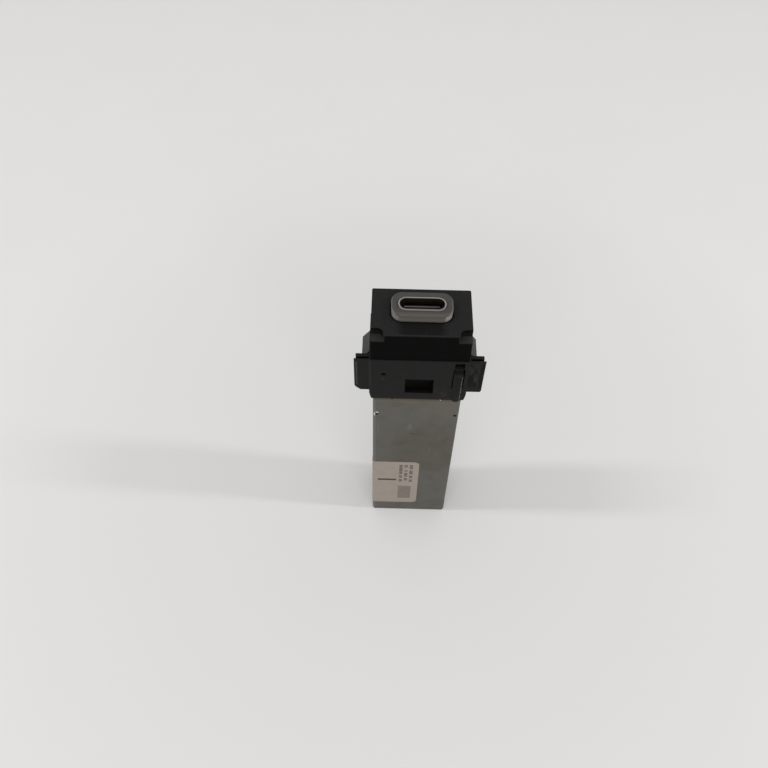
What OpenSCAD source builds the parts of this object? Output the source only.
// Panel-mount USB-C port module: a moulded front housing on a folded metal can.
// The module stands on its rear end. The port faces +Z and the front is -Y.
// The origin is the middle of the can's bottom face. All sizes are in millimetres.

/* [Metal can] */
// Width of the can over the cover's flanges
can_w = 18; // [17:0.25:22]
// Depth of the can from front to back
can_d = 11.2; // [10.6:0.1:13]
// Height of the can up to the housing
can_h = 50; // [46:0.5:60]
// Thickness of the sheet metal
sheet_t = 0.3; // [0.2:0.05:0.4]
// Outer radius of the upright bends
bend_r = 0.5; // [0.45:0.05:0.8]
// Outer radius of the two bottom corners
foot_r = 0.9; // [0.5:0.1:1.4]
// Depth of the cover's side flanges
flange_d = 4; // [3.6:0.1:5]
// Width of the tab that folds in at the cover's top edge
tab_w = 9.8; // [6:0.2:12]
// Depth of that tab, from the can's front face
tab_d = 1.2; // [0.8:0.1:1.4]
// Width of the relief cut beside the tab
relief_w = 0.35; // [0.2:0.05:0.6]
// Height of the relief cut
relief_h = 0.8; // [0.5:0.1:1.2]
// Diameter of the cover's two locating holes
hole_d = 0.7; // [0.5:0.05:0.8]
// Distance of those holes from the can's sides
hole_inset = 0.8; // [0.7:0.05:1.6]
// Distance of those holes from the can's top edge
hole_drop = 6.35; // [4:0.25:8]
// Width of a snap window in a flange, front to back
snap_w = 1; // [0.6:0.1:1.2]
// Height of a snap window
snap_h = 2.4; // [1.5:0.1:3]
// Height of the lower snap windows above the can's bottom
snap_low = 11; // [8:0.5:16]
// Drop of the upper snap windows below the can's top
snap_drop = 12; // [9:0.5:16]

/* [Front housing] */
// Overhang of the lower block over the can's sides
overhang_x = 0.75; // [0.6:0.05:1.2]
// Overhang of the lower block over the can's front and back
overhang_y = 0.4; // [0.3:0.05:0.8]
// Height of the lower block
low_h = 12.6; // [12:0.1:16]
// Step from the lower block in to the upper block, at the sides
step_x = 0.3; // [0.1:0.05:0.5]
// Step from the lower block in to the upper block, front and back
step_y = 0.2; // [0.05:0.05:0.4]
// Height of the upper block
up_h = 7.3; // [7:0.1:9]
// Wall of the lower block
low_wall = 1.2; // [1:0.05:1.4]
// Side wall of the upper block
up_wall_x = 1.9; // [1.6:0.1:2.2]
// Front and back wall of the upper block
up_wall_y = 1.4; // [1.2:0.05:1.6]
// Thickness of the step's roof over the lower cavity
roof_t = 1.6; // [1.2:0.1:2]
// Corner radius of the upper block
up_r = 0.3; // [0.1:0.05:0.5]
// Radius of the upper block's rounded top edge
up_edge = 0.15; // [0.05:0.05:0.3]
// Corner radius of the lower block
low_r = 0.45; // [0.2:0.05:0.6]
// Width of the taper at the lower block's feet
foot_taper_w = 0.45; // [0.2:0.05:0.7]
// Height of that taper
foot_taper_h = 1.7; // [1:0.1:2.4]
// Width of a front corner notch
notch_w = 2.35; // [1.8:0.05:2.6]
// Depth of a front corner notch
notch_d = 1.75; // [1.4:0.05:2]
// Height of a front corner notch
notch_h = 1.7; // [1.2:0.1:2.2]
// Radius of the notch's inner corner
notch_r = 1.2; // [0.6:0.1:1.3]
// Material left under a notch
notch_floor = 0.6; // [0.4:0.05:1]
// Reach of an ear beyond the lower block
ear_w = 2.9; // [2.2:0.1:3.5]
// Height of an ear
ear_h = 9.6; // [7:0.1:10.5]
// Thickness of an ear
ear_t = 1.65; // [1.4:0.05:2]
// Thickness of an ear's front lip
ear_lip = 0.4; // [0.3:0.05:0.5]
// Radius of the lip's outer edge
ear_round = 0.35; // [0.2:0.05:0.45]
// Width of the groove behind the lip
groove_w = 0.5; // [0.3:0.05:0.6]
// Depth of the groove below the ear's seat
groove_h = 2; // [1:0.1:4]
// Setback of the ears behind the front face
ear_setback = 0.1; // [0.05:0.05:0.6]
// Drop of the ears' seats below the step
ear_drop = 0.1; // [0.05:0.05:0.5]
// Chamfer at the left ear's lower corner
ear_cut_left = 1.2; // [0.2:0.1:1.6]
// Chamfer at the right ear's lower corner
ear_cut_right = 0.35; // [0.2:0.05:1.6]

/* [Front details] */
// Width of the latch window
window_w = 5.6; // [4:0.1:6.4]
// Height of the latch window
window_h = 4.65; // [3:0.05:5.2]
// Place of the window's middle across the front
window_x = 0.2; // [-0.5:0.05:0.5]
// Height of the window's sill above the can
window_sill = 2.05; // [1.9:0.05:2.6]
// Thickness of the sill's front edge
sill_edge = 0.2; // [0.1:0.05:0.4]
// Fall of the sill behind its edge, over one wall's thickness
sill_drop = 1.9; // [1:0.1:1.9]
// Place of the latch arm across the front
arm_x = 7.72; // [6.6:0.02:7.8]
// Width of the latch arm
arm_w = 1.9; // [1.4:0.05:2]
// Width of the slits beside the arm
slit_w = 0.2; // [0.15:0.05:0.4]
// Height at which the slits start above the can
slit_start = 4; // [2.5:0.1:5]
// Height of the pocket above the arm's free end
pocket_h = 2.1; // [1.4:0.1:2.4]
// Material between the pocket and the step
pocket_roof = 0.5; // [0.3:0.05:1]
// Depth of the pocket
pocket_d = 1.5; // [1.3:0.05:1.8]
// Length of the thinned tip of the arm
tip_h = 1.5; // [1.2:0.1:2.4]
// Setback of the thinned tip
tip_d = 0.8; // [0.4:0.05:0.9]
// Width of the half-round rib in front of the arm
rib_w = 1.7; // [1:0.05:1.8]
// Reach of the half-round rib in front of the arm
rib_h = 0.45; // [0.3:0.05:0.7]
// Height of the slope at the rib's top
rib_slope = 0.9; // [0.4:0.1:1.5]
// Reach of the arm's inner barb
barb_d = 0.4; // [0.2:0.05:0.6]
// Height of the barb
barb_h = 1.1; // [0.8:0.1:1.6]
// Height of the barb's flat tip
barb_flat = 0.35; // [0.2:0.05:0.6]
// Diameter of the ejector dimple
dimple_d = 0.95; // [0.5:0.05:1.4]
// Depth of the ejector dimple
dimple_depth = 0.5; // [0.2:0.05:0.7]
// Place of the dimple across the front
dimple_x = -6.9; // [-7.8:0.1:-4]
// Drop of the dimple below the step
dimple_drop = 4.35; // [2:0.05:8]
// Thickness of the anti-rattle pad
pad_t = 0.4; // [0.2:0.05:0.6]
// Lip of plastic left along the pad's upper edges
pad_lip = 0.25; // [0.15:0.05:0.5]

/* [Port] */
// Width of the boss round the port
boss_w = 11.5; // [11:0.1:12.5]
// Depth of the boss
boss_d = 5.8; // [5.2:0.1:6.2]
// Height of the boss above the face
boss_h = 1.9; // [1:0.1:3]
// Corner radius of the boss
boss_r = 2.1; // [1:0.1:2.4]
// Radius of the boss's rounded top edge
boss_edge = 0.35; // [0.1:0.05:0.6]
// Place of the port behind the module's middle
port_y = 0.46; // [0.2:0.02:0.6]
// Width of the port's opening
port_w = 8.34; // [8.2:0.02:8.5]
// Height of the port's opening
port_h = 2.56; // [2.5:0.02:2.8]
// Depth of the port down to the tongue's root
port_depth = 6.2; // [5.6:0.1:6.6]
// Wall of the receptacle's shell
shell_t = 0.3; // [0.2:0.05:0.35]
// Length of the receptacle's shell
shell_len = 10.5; // [9.5:0.1:11.2]
// Width of a shell leg
leg_w = 1.2; // [0.8:0.1:1.5]
// Width of the tongue
tongue_w = 6.69; // [6.5:0.01:6.9]
// Thickness of the tongue
tongue_t = 0.7; // [0.6:0.02:0.8]
// Distance of the tongue's tip below the mouth
tongue_inset = 0.8; // [0.5:0.1:1.5]
// Depth of the bevel on each face of the tongue's tip
tongue_bevel = 0.18; // [0.05:0.01:0.25]
// Length of that bevel
tongue_taper = 0.4; // [0.2:0.05:0.4]
// Thickness of the steel plate in the tongue
mid_plate_t = 0.15; // [0.1:0.01:0.2]
// Number of contacts on each face of the tongue
contact_count = 12; // [4:1:12]
// Spacing of the contacts
contact_pitch = 0.5; // [0.4:0.02:0.52]
// Width of a contact
contact_w = 0.25; // [0.2:0.01:0.3]
// Thickness of a contact
contact_t = 0.12; // [0.08:0.01:0.15]
// Distance of the contacts' ends from the tongue's tip
contact_inset = 0.5; // [0.4:0.05:1]
// Distance of the rear row's tails behind the shell
tail_gap = 0.36; // [0.3:0.02:0.5]
// Distance between the two rows of tails
tail_pitch = 0.84; // [0.7:0.02:1]
// Length of a contact's foot on the board
foot_len = 0.4; // [0.2:0.02:0.4]

/* [Carrier] */
// Wall of the carrier
carrier_wall = 1.4; // [1.2:0.05:1.6]
// Length of the carrier's plug inside the can
plug_len = 8.5; // [7:0.5:11]
// Thickness of the carrier's top plate under the boss
plate_t = 1.5; // [1:0.1:1.8]
// Margin of the carrier's opening round the latch window
window_margin = 0.5; // [0.2:0.05:0.8]
// Depth of the grooves that hold the board's edges
rail_d = 0.8; // [0.5:0.05:0.9]
// Reach of a side lug beyond the lower block
lug_w = 1.45; // [0.9:0.05:2]
// Width of a side lug, front to back
lug_d = 5.2; // [3:0.1:5.6]
// Place of the lugs' middle behind the module's middle
lug_y = -0.75; // [-1:0.05:0.5]
// Drop of the lug's ramp below the step
lug_drop = 0.55; // [0.4:0.05:1.2]
// Height of the lug's ramp
lug_ramp = 2; // [1:0.1:2.6]
// Height of the lug's straight part under the ramp
lug_h = 4.8; // [3:0.1:6]

/* [Board] */
// Thickness of the circuit board
board_t = 1.2; // [0.8:0.1:1.4]
// Width of the board's neck behind the receptacle
neck_w = 12; // [11:0.2:12.4]
// Room behind the board for solder
solder_room = 0.5; // [0.4:0.05:0.6]
// Gap of the board's lower edge from the can's bottom
board_lift = 0.9; // [0.5:0.1:1.5]
// Clear distance between rows of parts on the board
part_gap = 0.8; // [0.5:0.1:1.2]
// Gap between the two bulk capacitors' bases
bulk_gap = 0.3; // [0.2:0.05:0.6]
// Margin of a bulk capacitor's base round its can
bulk_margin = 0.15; // [0.1:0.05:0.3]
// Diameter of a bulk capacitor
bulk_d = 6.3; // [5:0.1:6.5]
// Height of a bulk capacitor
bulk_h = 5.8; // [4:0.1:6]
// Height of a bulk capacitor's base
bulk_base_h = 1; // [0.6:0.1:1.4]
// Diameter of the crimp's groove round a bulk capacitor
crimp_d = 0.5; // [0.3:0.05:0.7]
// Height of that groove above the base
crimp_z = 0.5; // [0.4:0.05:0.8]
// Chamfer of the inductor's corners
inductor_cut = 0.9; // [0.4:0.1:1.5]
// Side of the power inductor
inductor_w = 7.3; // [5:0.1:7.5]
// Height of the power inductor
inductor_h = 4.8; // [3:0.1:5.5]
// Side of the controller chip
chip_w = 5; // [3:0.1:6]
// Height of the controller chip
chip_h = 0.85; // [0.6:0.05:1.2]
// Side of a power transistor
transistor_w = 3.3; // [2.5:0.1:3.4]
// Height of a power transistor
transistor_h = 1; // [0.7:0.05:1.2]
// Size of the common-mode choke: width, length and height
choke_size = [4.6, 3.4, 2.8]; // [2:0.1:5]
// Size of a chip capacitor
capacitor_size = [1.25, 2, 1.25]; // [0.5:0.05:2]
// Number of chip capacitors in a row
capacitor_count = 5; // [2:1:5]
// Size of a chip resistor
resistor_size = [0.5, 1, 0.35]; // [0.3:0.05:1]
// Number of chip resistors in a row
resistor_count = 7; // [2:1:8]
// Size of the diode array behind the receptacle
diode_size = [2, 1.25, 0.95]; // [0.8:0.05:2]
// Width of the thermal pad
thermal_w = 10; // [6:0.5:12]
// Height of the thermal pad
thermal_h = 14; // [8:0.5:18]

/* [Rear header] */
// Number of pins
pin_count = 5; // [2:1:5]
// Spacing of the pins
pin_pitch = 2; // [1.8:0.1:2.2]
// Room in the socket beside the end pins' middles
pin_side = 1.3; // [1:0.1:1.4]
// Side of a square pin
pin_t = 0.6; // [0.4:0.05:0.7]
// Wall of the header
header_wall = 0.9; // [0.7:0.05:1.1]
// Depth of the header from the board
header_d = 6.2; // [5:0.1:6.4]
// Length of the header
header_len = 9.4; // [8:0.1:11]
// Depth of the header's socket
socket_depth = 6.4; // [5:0.1:7]
// Width of the key slot in the header's front wall
key_w = 2.6; // [1.5:0.1:4]
// Depth of the key slot
key_depth = 4.2; // [2:0.1:4.8]
// Distance of the pins' tips above the header's mouth
pin_inset = 1.4; // [0.8:0.1:2.5]
// Length of a pin's foot on the board
pin_foot_len = 1.2; // [0.8:0.1:1.6]

/* [Label] */
// Thickness of the label
label_t = 0.08; // [0.05:0.01:0.15]
// Right edge of the label, from the can's middle
label_right = 1.8; // [0:0.1:7]
// Height of the label's lower edge above the can's bottom
label_low = 3.9; // [2:0.1:6]
// Height of the label
label_h = 19.9; // [12:0.1:24]
// Length of the label round the can's left side
label_wrap = 1.6; // [1.2:0.1:2.2]
// Corner radius of the label
label_r = 1.2; // [0.4:0.1:2]

/* [Clearances] */
// Gap between the carrier and what it slides into
fit_gap = 0.1; // [0.05:0.01:0.15]
// Gap between the can's overlapping sheets
lap_gap = 0.02; // [0.01:0.01:0.05]
// Gap round the boss in the face
boss_gap = 0.25; // [0.1:0.05:0.4]
// Gap round the lugs in their slots
lug_gap = 0.15; // [0.1:0.05:0.3]
// Gap round the receptacle's shell and its insulator
shell_gap = 0.03; // [0.02:0.01:0.06]
// Gap round the board's edges in the grooves
board_gap = 0.05; // [0.03:0.01:0.1]
// Gap round the header in the can's bottom
header_gap = 0.15; // [0.1:0.05:0.3]

/* [Hidden] */
$fn = 48;
// Overshoot of a cut past the face it opens
over = 1;

// Housing sizes
low_w = can_w + 2 * overhang_x;
low_d = can_d + 2 * overhang_y;
up_w = low_w - 2 * step_x;
up_d = low_d - 2 * step_y;
step_z = can_h + low_h;
face_z = step_z + up_h;
mouth_z = face_z + boss_h;
face_t = notch_h + notch_floor;
low_cavity_w = low_w - 2 * low_wall;
low_cavity_d = low_d - 2 * low_wall;
low_cavity_top = step_z - roof_t;
up_cavity_w = up_w - 2 * up_wall_x;
up_cavity_d = up_d - 2 * up_wall_y;
up_cavity_top = face_z - face_t;
ear_x = low_w / 2 + ear_w;
ear_front = -low_d / 2 + ear_setback;
ear_seat = step_z - ear_drop;
ear_low = ear_seat - ear_h;
pocket_top = step_z - pocket_roof;
arm_top = pocket_top - pocket_h;
rib_top = arm_top - tip_h;
rib_r = (rib_w * rib_w / 4 + rib_h * rib_h) / (2 * rib_h);

// Carrier and board sizes
mid_w = low_cavity_w - 2 * fit_gap;
mid_d = low_cavity_d - 2 * fit_gap;
upper_w = up_cavity_w - 2 * fit_gap;
upper_d = up_cavity_d - 2 * fit_gap;
case_w = can_w - 2 * sheet_t - 2 * lap_gap;
plug_w = case_w - 2 * sheet_t - 2 * fit_gap;
plug_d = can_d - 2 * sheet_t - 2 * fit_gap;
plug_low = can_h - plug_len;
shell_w = port_w + 2 * shell_t;
shell_h = port_h + 2 * shell_t;
shell_low = mouth_z - shell_len;
tongue_tip = mouth_z - tongue_inset;
root_z = mouth_z - port_depth;
board_front = port_y + shell_h / 2;
board_back = board_front + board_t;
hollow_w = plug_w - 2 * carrier_wall;
hollow_front = carrier_wall - mid_d / 2;
hollow_back = board_back + solder_room;
board_w = hollow_w + 2 * rail_d - 2 * board_gap;
plate_low = up_cavity_top - plate_t;
neck_top = plate_low - board_gap;
shoulder_z = low_cavity_top - roof_t + board_gap;
board_low = sheet_t + board_lift;
lug_x = low_w / 2 + lug_w;
lug_top = step_z - lug_drop;
lug_low = lug_top - lug_ramp - lug_h;

// Rows of parts on the board, from the header upwards
header_w = (pin_count - 1) * pin_pitch + 2 * pin_side + 2 * header_wall;
header_mouth = sheet_t / 2;
header_top = header_mouth + header_len;
header_front = board_front - header_d;
pin_y = board_front - header_d / 2;
pin_bend = header_top + pin_t;
pin_foot = pin_bend + pin_foot_len;
bulk_base = bulk_d + 2 * bulk_margin;
bulk_z = pin_foot + part_gap + bulk_base / 2;
power_z = bulk_z + bulk_base / 2 + part_gap + inductor_w / 2;
inductor_x = -inductor_w / 2 + part_gap / 2;
choke_x = inductor_x + inductor_w / 2 + part_gap + choke_size[0] / 2;
transistor_z = power_z + inductor_w / 2 + part_gap + transistor_w / 2;
capacitor_z = transistor_z + transistor_w / 2 + part_gap + capacitor_size[1] / 2;
chip_z = capacitor_z + capacitor_size[1] / 2 + part_gap + chip_w / 2;
resistor_z = chip_z + chip_w / 2 + part_gap + resistor_size[1] / 2;
rear_tail = shell_low - tail_gap;
front_tail = rear_tail - tail_pitch;
diode_z = front_tail - foot_len - part_gap - diode_size[1] / 2;

// A box between two opposite corners
module block(low, high) {
    translate(low) cube(high - low);
}

// A shape in the XZ plane, extruded from y0 to y1
module along_y(y0, y1) {
    translate([0, y1, 0]) rotate([90, 0, 0]) linear_extrude(y1 - y0) children();
}

// A shape in the YZ plane, extruded from x0 to x1
module along_x(x0, x1) {
    translate([x0, 0, 0]) rotate([90, 0, 90]) linear_extrude(x1 - x0) children();
}

// A shape in the XY plane, extruded from z0 to z1
module along_z(z0, z1) {
    translate([0, 0, z0]) linear_extrude(z1 - z0) children();
}

// A pair of shapes, one on each side of the module
module both_sides() {
    children();
    mirror([1, 0, 0]) children();
}

// A pair of shapes at opposite corners of the module
module both_corners() {
    children();
    rotate([0, 0, 180]) children();
}

// A rectangle with round corners
module round_rect(w, d, r) {
    square([w - 2 * r, d], center = true);
    square([w, d - 2 * r], center = true);
    for (x = [r - w / 2, w / 2 - r], y = [r - d / 2, d / 2 - r])
        translate([x, y]) circle(r = r);
}

// Half profile of a block whose top edge is rounded
module edge_profile(half, h, edge) {
    square([half, h - edge]);
    square([half - edge, h]);
    translate([half - edge, h - edge]) circle(r = edge);
}

// A block with round corners and a rounded top edge
module soft_block(w, d, r, edge, z0, z1) {
    h = z1 - z0;
    for (x = [r - w / 2, w / 2 - r], y = [r - d / 2, d / 2 - r])
        translate([x, y, z0]) rotate_extrude() edge_profile(r, h, edge);
    translate([0, 0, z0]) along_x(r - w / 2, w / 2 - r) {
        edge_profile(d / 2, h, edge);
        mirror([1, 0]) edge_profile(d / 2, h, edge);
    }
    translate([0, 0, z0]) along_y(r - d / 2, d / 2 - r) {
        edge_profile(w / 2, h, edge);
        mirror([1, 0]) edge_profile(w / 2, h, edge);
    }
}

// A rectangle with full round ends
module stadium(w, h) {
    square([w - h, h], center = true);
    for (x = [h / 2 - w / 2, w / 2 - h / 2])
        translate([x, 0]) circle(d = h);
}

// The can's front view: open at the top, round at the two bottom corners
module can_outline(w, r, low) {
    translate([-w / 2, low + r]) square([w, can_h + over - low - r]);
    translate([r - w / 2, low]) square([w - 2 * r, r]);
    for (x = [r - w / 2, w / 2 - r])
        translate([x, low + r]) circle(r = r);
}

// A part that stands on the board's front face, its own z axis pointing forward
module on_board(x, z) {
    translate([x, board_front, z]) rotate([90, 0, 0]) children();
}

// A box that stands on the board, with its middle at the origin
module board_part(size) {
    translate([-size[0] / 2, -size[1] / 2, 0]) cube(size);
}

// Lower block with its tapered feet
module lower_block() {
    intersection() {
        along_z(can_h, step_z) round_rect(low_w, low_d, low_r);
        along_y(-low_d, low_d) polygon([
            [foot_taper_w - low_w / 2, can_h], [low_w / 2 - foot_taper_w, can_h],
            [low_w / 2, can_h + foot_taper_h], [low_w / 2, step_z],
            [-low_w / 2, step_z], [-low_w / 2, can_h + foot_taper_h]
        ]);
    }
}

// Upper block with its rounded top edge, rooted in the lower block's roof
module upper_block() {
    soft_block(up_w, up_d, up_r, min(up_edge, up_r / 2), step_z - roof_t / 2, face_z);
}

// Top view of the right ear: its front lip has a round outer edge
module ear_plan(root) {
    translate([root, ear_front]) square([ear_x - ear_round - root, ear_t]);
    translate([ear_x - ear_round, ear_front + ear_round]) circle(r = ear_round);
}

// Ear on the right side, with its lower corner cut and a groove in its seat
module ear(cut) {
    root = low_w / 2 - low_wall;
    difference() {
        intersection() {
            along_z(ear_low, ear_seat) ear_plan(root);
            along_y(-low_d, low_d) polygon([
                [root, ear_low], [ear_x - cut, ear_low], [ear_x, ear_low + cut],
                [ear_x, ear_seat], [root, ear_seat]
            ]);
        }
        block([low_w / 2, ear_front + ear_lip, ear_seat - groove_h],
            [ear_x + over, ear_front + ear_lip + groove_w, ear_seat + over]);
    }
}

// Half-round rib in front of a latch arm, sloped back at its top
module arm_rib() {
    front = -low_d / 2;
    intersection() {
        along_x(arm_x - arm_w / 2, arm_x + arm_w / 2) polygon([
            [front + low_wall / 2, can_h], [front - rib_h, can_h],
            [front - rib_h, rib_top - rib_slope], [front, rib_top], [front + low_wall / 2, rib_top]
        ]);
        translate([arm_x, front - rib_h + rib_r, can_h]) cylinder(r = rib_r, h = low_h);
    }
}

// Wedge on the inside of a latch arm
module arm_barb() {
    inside = low_wall - low_d / 2;
    along_x(arm_x - arm_w / 2, min(arm_x + arm_w / 2, mid_w / 2 - fit_gap)) polygon([
        [inside - low_wall / 4, arm_top - barb_h], [inside, arm_top - barb_h],
        [inside + barb_d, arm_top - barb_flat], [inside + barb_d, arm_top], [inside - low_wall / 4, arm_top]
    ]);
}

// Slits, pocket and thinned tip of a latch arm
module arm_cuts() {
    front = -low_d / 2;
    for (x = [arm_x - arm_w / 2 - slit_w, arm_x + arm_w / 2])
        block([x, front - over, can_h + slit_start],
            [x + slit_w, front + low_wall + fit_gap, arm_top + slit_w]);
    block([arm_x - arm_w / 2, front - over, arm_top], [arm_x + arm_w / 2, front + pocket_d, pocket_top]);
    block([arm_x - arm_w / 2, front - over, rib_top], [arm_x + arm_w / 2, front + tip_d, arm_top + over / 2]);
}

// Window for the bracket's latch, with a sill that falls away behind its front edge
module latch_window() {
    front = -low_d / 2;
    sill = can_h + window_sill;
    along_x(window_x - window_w / 2, window_x + window_w / 2) polygon([
        [front - over, sill], [front + sill_edge, sill], [front + sill_edge + low_wall, sill - sill_drop],
        [0, sill - sill_drop], [0, sill + window_h], [front - over, sill + window_h]
    ]);
}

// Notch at the right front corner of the face
module corner_notch() {
    left = up_w / 2 - notch_w;
    back = notch_d - up_d / 2;
    along_z(face_z - notch_h, face_z + over) {
        translate([left + notch_r, -up_d]) square([up_w, up_d + back]);
        translate([left, -up_d]) square([up_w, up_d + back - notch_r]);
        translate([left + notch_r, back - notch_r]) circle(r = notch_r);
    }
}

// Space that the anti-rattle pad fills in the upper block's front
module pad_space() {
    bar_top = face_z - notch_h - pad_lip;
    along_y(-up_d, pad_t - up_d / 2) polygon([
        [-low_w, step_z], [low_w, step_z], [low_w, bar_top], [up_w / 2 - notch_w - pad_lip, bar_top],
        [up_w / 2 - notch_w - pad_lip, face_z - pad_lip], [notch_w + pad_lip - up_w / 2, face_z - pad_lip],
        [notch_w + pad_lip - up_w / 2, bar_top], [-low_w, bar_top]
    ]);
}

// Black front housing
module front_housing() {
    color("#272726") difference() {
        union() {
            lower_block();
            upper_block();
            ear(ear_cut_right);
            mirror([1, 0, 0]) ear(ear_cut_left);
            both_corners() arm_rib();
        }
        difference() {
            block([-low_cavity_w / 2, -low_cavity_d / 2, can_h - over],
                [low_cavity_w / 2, low_cavity_d / 2, low_cavity_top]);
            both_corners() arm_barb();
        }
        block([-up_cavity_w / 2, -up_cavity_d / 2, can_h], [up_cavity_w / 2, up_cavity_d / 2, up_cavity_top]);
        translate([0, port_y, 0])
            along_z(up_cavity_top - over, face_z + over)
                round_rect(boss_w + 2 * boss_gap, boss_d + 2 * boss_gap, boss_r + boss_gap);
        both_sides() corner_notch();
        both_sides() block([low_cavity_w / 2 - lug_gap, lug_y - lug_d / 2 - lug_gap, can_h - over],
            [low_w, lug_y + lug_d / 2 + lug_gap, lug_top + lug_gap]);
        latch_window();
        both_corners() arm_cuts();
        translate([dimple_x, dimple_depth - low_d / 2, step_z - dimple_drop])
            rotate([90, 0, 0]) cylinder(d = dimple_d, h = dimple_depth + over);
        pad_space();
    }
}

// Grey carrier: plug, body, boss and side lugs
module port_carrier() {
    color("#4f4d4b") difference() {
        union() {
            block([-plug_w / 2, -plug_d / 2, plug_low], [plug_w / 2, plug_d / 2, can_h]);
            block([-mid_w / 2, -mid_d / 2, can_h], [mid_w / 2, mid_d / 2, low_cavity_top]);
            block([-upper_w / 2, -upper_d / 2, plug_low], [upper_w / 2, upper_d / 2, up_cavity_top]);
            translate([0, port_y, 0]) soft_block(boss_w, boss_d, boss_r, boss_edge, plate_low, mouth_z);
            both_sides() side_lug();
        }
        block([-hollow_w / 2, hollow_front, plug_low - over], [hollow_w / 2, hollow_back, shoulder_z]);
        block([-board_w / 2 - board_gap, board_front, plug_low - over],
            [board_w / 2 + board_gap, board_back + board_gap, shoulder_z]);
        block([-neck_w / 2 - board_gap, carrier_wall - upper_d / 2, can_h],
            [neck_w / 2 + board_gap, hollow_back, plate_low]);
        translate([0, port_y, 0]) along_z(plate_low - over, mouth_z + over)
            stadium(shell_w + 2 * shell_gap, shell_h + 2 * shell_gap);
        block([window_x - window_w / 2 - window_margin, -low_d, can_h - sheet_t - fit_gap],
            [window_x + window_w / 2 + window_margin, 0, can_h + window_sill + window_h + window_margin]);
        block([-tab_w / 2 - fit_gap, -can_d, can_h - sheet_t - fit_gap],
            [tab_w / 2 + fit_gap, tab_d + fit_gap - can_d / 2, can_h]);
        both_corners() block([arm_x - arm_w / 2 - fit_gap, -low_d, arm_top - barb_h - fit_gap],
            [low_w, low_wall + barb_d + fit_gap - low_d / 2, arm_top + fit_gap]);
    }
}

// Snap lug on the carrier's right side, with a ramp on top
module side_lug() {
    along_y(lug_y - lug_d / 2, lug_y + lug_d / 2) polygon([
        [hollow_w / 2 + carrier_wall / 2, lug_low], [lug_x, lug_low], [lug_x, lug_top - lug_ramp],
        [low_w / 2, lug_top], [low_cavity_w / 2, lug_top], [low_cavity_w / 2, low_cavity_top - roof_t / 2],
        [hollow_w / 2 + carrier_wall / 2, low_cavity_top - roof_t / 2]
    ]);
}

// Dark pad set into the upper block's front
module anti_rattle_pad() {
    color("#121212") intersection() {
        pad_space();
        upper_block();
    }
}

// Steel shell of the receptacle, with four legs through the board
module receptacle_shell() {
    color("#a8a39c") {
        translate([0, port_y, 0]) along_z(shell_low, mouth_z) difference() {
            stadium(shell_w, shell_h);
            stadium(port_w, port_h);
        }
        both_sides() for (z = leg_places())
            block([shell_w / 2 - shell_t, port_y, z - leg_w / 2],
                [shell_w / 2, board_back + solder_room / 2, z + leg_w / 2]);
    }
}

// Heights of the shell's two rows of legs
function leg_places() = [shell_low + leg_w, neck_top - leg_w];

// Side view of the tongue, bevelled at its tip
module tongue_profile() {
    half = tongue_t / 2;
    polygon([
        [-half, shell_low], [half, shell_low], [half, tongue_tip - tongue_taper],
        [half - tongue_bevel, tongue_tip], [tongue_bevel - half, tongue_tip],
        [-half, tongue_tip - tongue_taper]
    ]);
}

// Insulator of the receptacle: base and tongue
module receptacle_tongue() {
    color("#1b1a19") difference() {
        translate([0, port_y, 0]) {
            along_z(shell_low, root_z) stadium(port_w - 2 * shell_gap, port_h - 2 * shell_gap);
            along_x(-tongue_w / 2, tongue_w / 2) tongue_profile();
        }
        contact_row(-1);
        contact_row(1);
        mid_plate_shape();
    }
}

// Plate in the tongue's middle, flush with its two sides
module mid_plate_shape() {
    block([-tongue_w / 2, port_y - mid_plate_t / 2, shell_low + leg_w],
        [tongue_w / 2, port_y + mid_plate_t / 2, tongue_tip - contact_inset]);
}

module mid_plate() {
    color("#b4b0a8") mid_plate_shape();
}

// Row of contacts on one face of the tongue: -1 is the front face, 1 the board's side
module contact_row(face) {
    outer = port_y + face * tongue_t / 2;
    inner = outer - face * contact_t;
    near = min(outer, inner);
    tail = face < 0 ? front_tail : rear_tail;
    first = -(contact_count - 1) / 2 * contact_pitch;
    for (i = [0:contact_count - 1])
        translate([first + i * contact_pitch, 0, 0]) along_x(-contact_w / 2, contact_w / 2) {
            translate([near, tail]) square([contact_t, tongue_tip - contact_inset - tail]);
            translate([near, tail]) square([board_front - near, contact_t]);
            translate([board_front - contact_t, tail - foot_len]) square([contact_t, foot_len + contact_t]);
        }
}

module upper_contacts() {
    color("#c8a24a") contact_row(-1);
}

module lower_contacts() {
    color("#c8a24a") contact_row(1);
}

// Snap window or bump on the can's right side
module snap_shape(x0, x1, gap) {
    for (z = [snap_low, can_h - snap_drop])
        block([x0, flange_d - can_d / 2 - 2 * snap_w - gap, z - snap_h / 2 - gap],
            [x1, flange_d - can_d / 2 - snap_w + gap, z + snap_h / 2 + gap]);
}

// Front sheet of the can with its two side flanges and top tab
module can_front_cover() {
    front = -can_d / 2;
    color("#5b5954") difference() {
        union() {
            intersection() {
                along_z(0, can_h) difference() {
                    round_rect(can_w, can_d, bend_r);
                    round_rect(can_w - 2 * sheet_t, can_d - 2 * sheet_t, bend_r - sheet_t);
                }
                block([-can_w, -can_d, -over], [can_w, front + flange_d, can_h + over]);
                along_y(-can_d, can_d) can_outline(can_w, foot_r, 0);
            }
            block([-tab_w / 2, front + sheet_t / 2, can_h - sheet_t], [tab_w / 2, front + tab_d, can_h]);
        }
        both_sides() block([tab_w / 2, front - over, can_h - relief_h],
            [tab_w / 2 + relief_w, front + bend_r, can_h + over]);
        both_sides() translate([can_w / 2 - hole_inset, front + bend_r, can_h - hole_drop])
            rotate([90, 0, 0]) cylinder(d = hole_d, h = bend_r + over);
        both_sides() snap_shape(case_w / 2, can_w, lap_gap);
    }
}

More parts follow.
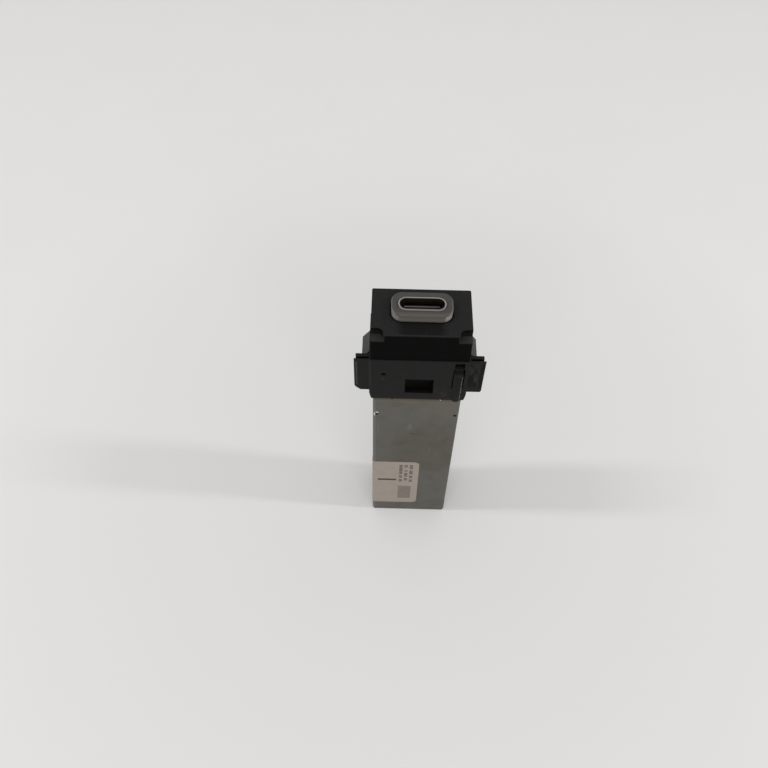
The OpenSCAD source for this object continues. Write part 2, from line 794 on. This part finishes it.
// Folded rear case of the can: sides, back and bottom
module can_rear_case() {
    front = bend_r + lap_gap - can_d / 2;
    color("#57554f") difference() {
        union() {
            intersection() {
                along_y(front, can_d / 2) can_outline(case_w, foot_r - sheet_t, 0);
                along_z(0, can_h) translate([0, -bend_r]) round_rect(case_w, can_d + 2 * bend_r, bend_r);
            }
            both_sides() snap_shape(case_w / 2 - sheet_t, case_w / 2 + sheet_t, 0);
        }
        along_y(-can_d, can_d / 2 - sheet_t)
            can_outline(case_w - 2 * sheet_t, max(foot_r - 2 * sheet_t, sheet_t / 2), sheet_t);
        block([-header_w / 2 - header_gap, header_front - header_gap, -over],
            [header_w / 2 + header_gap, board_front + header_gap, sheet_t + over]);
    }
}

// Label that wraps round the can's left edge
module label() {
    color("#e4ddd2") intersection() {
        along_z(label_low, label_low + label_h) difference() {
            round_rect(can_w + 2 * label_t, can_d + 2 * label_t, bend_r + label_t);
            round_rect(can_w, can_d, bend_r);
        }
        block([-can_w, -can_d, 0], [can_w, label_wrap - can_d / 2, can_h]);
        along_y(-can_d, can_d) translate([label_right - can_w, label_low + label_h / 2])
            round_rect(2 * can_w, label_h, label_r);
    }
}

// Circuit board with a narrow neck behind the receptacle
module circuit_board() {
    color("#1f3a2a") difference() {
        union() {
            block([-board_w / 2, board_front, board_low], [board_w / 2, board_back, shoulder_z - board_gap]);
            block([-neck_w / 2, board_front, board_low], [neck_w / 2, board_back, neck_top]);
        }
        both_sides() for (z = leg_places())
            block([shell_w / 2 - shell_t - board_gap, board_front - over, z - leg_w / 2 - board_gap],
                [shell_w / 2 + board_gap, board_back + over, z + leg_w / 2 + board_gap]);
    }
}

module controller_chip() {
    color("#202022") on_board(0, chip_z) board_part([chip_w, chip_w, chip_h]);
}

// Moulded inductor with chamfered corners
module power_inductor() {
    cut = inductor_cut;
    half = inductor_w / 2;
    color("#3a3a3c") on_board(inductor_x, power_z) linear_extrude(inductor_h) polygon([
        [cut - half, -half], [half - cut, -half], [half, cut - half], [half, half - cut],
        [half - cut, half], [cut - half, half], [-half, half - cut], [-half, cut - half]
    ]);
}

module power_transistors() {
    color("#242426") for (x = [-transistor_w - part_gap, 0, transistor_w + part_gap])
        on_board(x, transistor_z) board_part([transistor_w, transistor_w, transistor_h]);
}

// Pair of aluminium capacitors on their plastic bases
module bulk_capacitors() {
    place = (bulk_base + bulk_gap) / 2;
    color("#b9bab8") for (x = [-place, place]) on_board(x, bulk_z) {
        board_part([bulk_base, bulk_base, bulk_base_h]);
        difference() {
            cylinder(d = bulk_d, h = bulk_h);
            translate([0, 0, bulk_base_h + crimp_z]) rotate_extrude()
                translate([bulk_d / 2, 0]) circle(d = crimp_d);
        }
    }
}

module chip_capacitors() {
    pitch = capacitor_size[0] + part_gap;
    color("#a58a66") for (i = [0:capacitor_count - 1])
        on_board((i - (capacitor_count - 1) / 2) * pitch, capacitor_z) board_part(capacitor_size);
}

module chip_resistors() {
    pitch = resistor_size[0] + part_gap;
    color("#26262a") for (i = [0:resistor_count - 1])
        on_board((i - (resistor_count - 1) / 2) * pitch, resistor_z) board_part(resistor_size);
}

module common_mode_choke() {
    color("#3d3b39") on_board(choke_x, power_z) board_part(choke_size);
}

module diode_array() {
    color("#232325") on_board(0, diode_z) board_part(diode_size);
}

// Soft pad between the board's back and the can
module thermal_pad() {
    color("#8a95a0") block([-thermal_w / 2, board_back, power_z - thermal_h / 2],
        [thermal_w / 2, can_d / 2 - sheet_t, power_z + thermal_h / 2]);
}

// Shrouded header at the can's bottom, open downwards
module rear_header() {
    color("#2a2a2c") difference() {
        block([-header_w / 2, header_front, header_mouth], [header_w / 2, board_front, header_top]);
        block([header_wall - header_w / 2, header_front + header_wall, header_mouth - over],
            [header_w / 2 - header_wall, board_front - header_wall, header_mouth + socket_depth]);
        block([-key_w / 2, header_front - over, header_mouth - over],
            [key_w / 2, header_front + header_wall + over / 2, header_mouth + key_depth]);
        pin_row();
    }
}

// Row of bent pins from the header's socket to the board
module pin_row() {
    first = -(pin_count - 1) / 2 * pin_pitch;
    for (i = [0:pin_count - 1])
        translate([first + i * pin_pitch, 0, 0]) along_x(-pin_t / 2, pin_t / 2) {
            translate([pin_y - pin_t / 2, header_mouth + pin_inset])
                square([pin_t, pin_bend - header_mouth - pin_inset + pin_t]);
            translate([pin_y - pin_t / 2, pin_bend]) square([board_front - pin_y + pin_t / 2, pin_t]);
            translate([board_front - pin_t / 2, pin_bend]) square([pin_t / 2, pin_foot - pin_bend]);
        }
}

module header_pins() {
    color("#c9c2b2") pin_row();
}

front_housing();
port_carrier();
anti_rattle_pad();
receptacle_shell();
receptacle_tongue();
mid_plate();
upper_contacts();
lower_contacts();
can_front_cover();
can_rear_case();
label();
circuit_board();
controller_chip();
power_inductor();
power_transistors();
bulk_capacitors();
chip_capacitors();
chip_resistors();
common_mode_choke();
diode_array();
thermal_pad();
rear_header();
header_pins();
